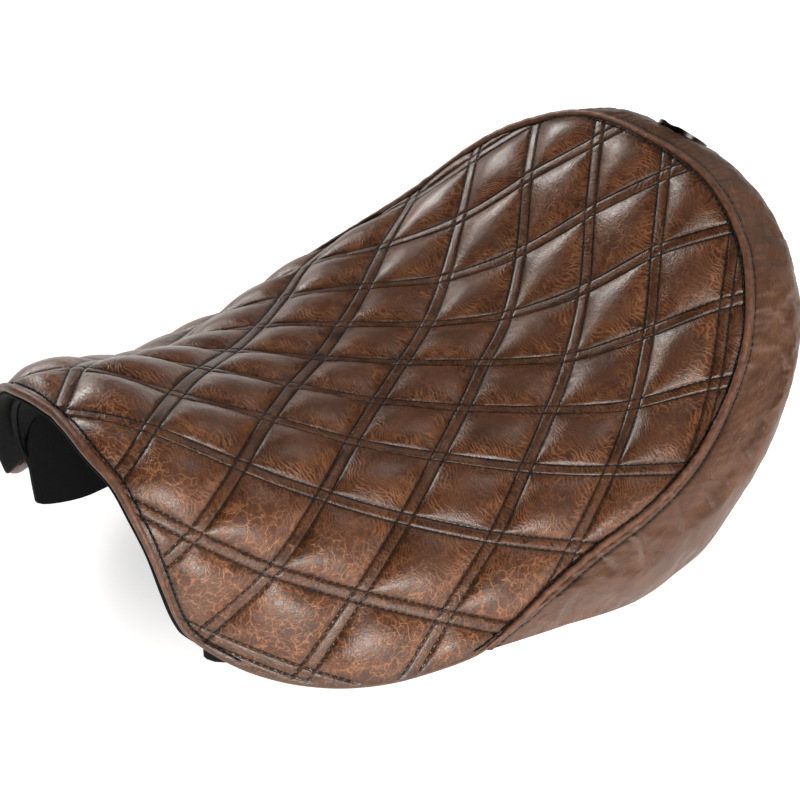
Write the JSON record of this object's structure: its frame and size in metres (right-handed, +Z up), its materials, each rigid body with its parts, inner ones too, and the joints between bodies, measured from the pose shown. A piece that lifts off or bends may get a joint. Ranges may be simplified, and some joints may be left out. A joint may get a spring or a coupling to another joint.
{
  "type": "motorcycle seat",
  "caption": "Solo motorcycle seat with a diamond quilted leather top, side band, arched nose, moulded pan, front tongue and captive rear screw.",
  "frame": {"origin": "on the axis of the captive rear screw, at the face of the rear tab that rests on the fender", "axes": "+Z up, -Y towards the nose of the seat, +X towards the rider's left"},
  "size_m": [0.34, 0.4823, 0.1804],
  "materials": {
    "leather_quilted": "waxed pull-up leather, satin, creased",
    "leather_plain": "waxed pull-up leather, satin",
    "leather_edge": "waxed leather, worn on the fold",
    "foam": "moulded polyurethane foam",
    "gel": "soft gel, smooth",
    "backing": "sewing foam with scrim",
    "pan_plastic": "fine moulded texture",
    "trim_rubber": "satin",
    "felt": "needle felt",
    "zinc_steel": "bright zinc plate",
    "rivet_alloy": "satin",
    "gloss_black": "polished",
    "screw_steel": "bright zinc plate",
    "nylon": "natural nylon",
    "rubber": "matte"
  },
  "bodies": {
    "seat": {"base_pan": "pan_plastic", "foam_core": "foam", "gel_insert": "gel", "quilt_backing": "backing", "top_panel": "leather_quilted", "side_band": "leather_plain", "welt_cord": "leather_edge", "nose_binding": "leather_edge", "nose_edge_trim": "trim_rubber", "underside_felt": "felt", "front_tongue": "zinc_steel", "tongue_rivets": "rivet_alloy", "rear_bracket": "zinc_steel", "bracket_rivets": "rivet_alloy", "screw_cup": "gloss_black", "front_bumpers": "rubber", "rear_bumpers": "rubber", "bumper_screws": "screw_steel", "cover_rivets": "rivet_alloy"},
    "washer": {"captive_washer": "nylon"},
    "screw": {"captive_screw": "screw_steel"}
  },
  "joints": [
    {"name": "screw_lift", "type": "slide", "parent": "seat", "child": "washer", "axis": [0, 0, 1], "range_m": [0, 0.004]},
    {"name": "screw_turn", "type": "hinge", "parent": "washer", "child": "screw", "pos_m": [0, 0, 0], "axis": [0, 0, 1], "continuous": true}
  ]
}
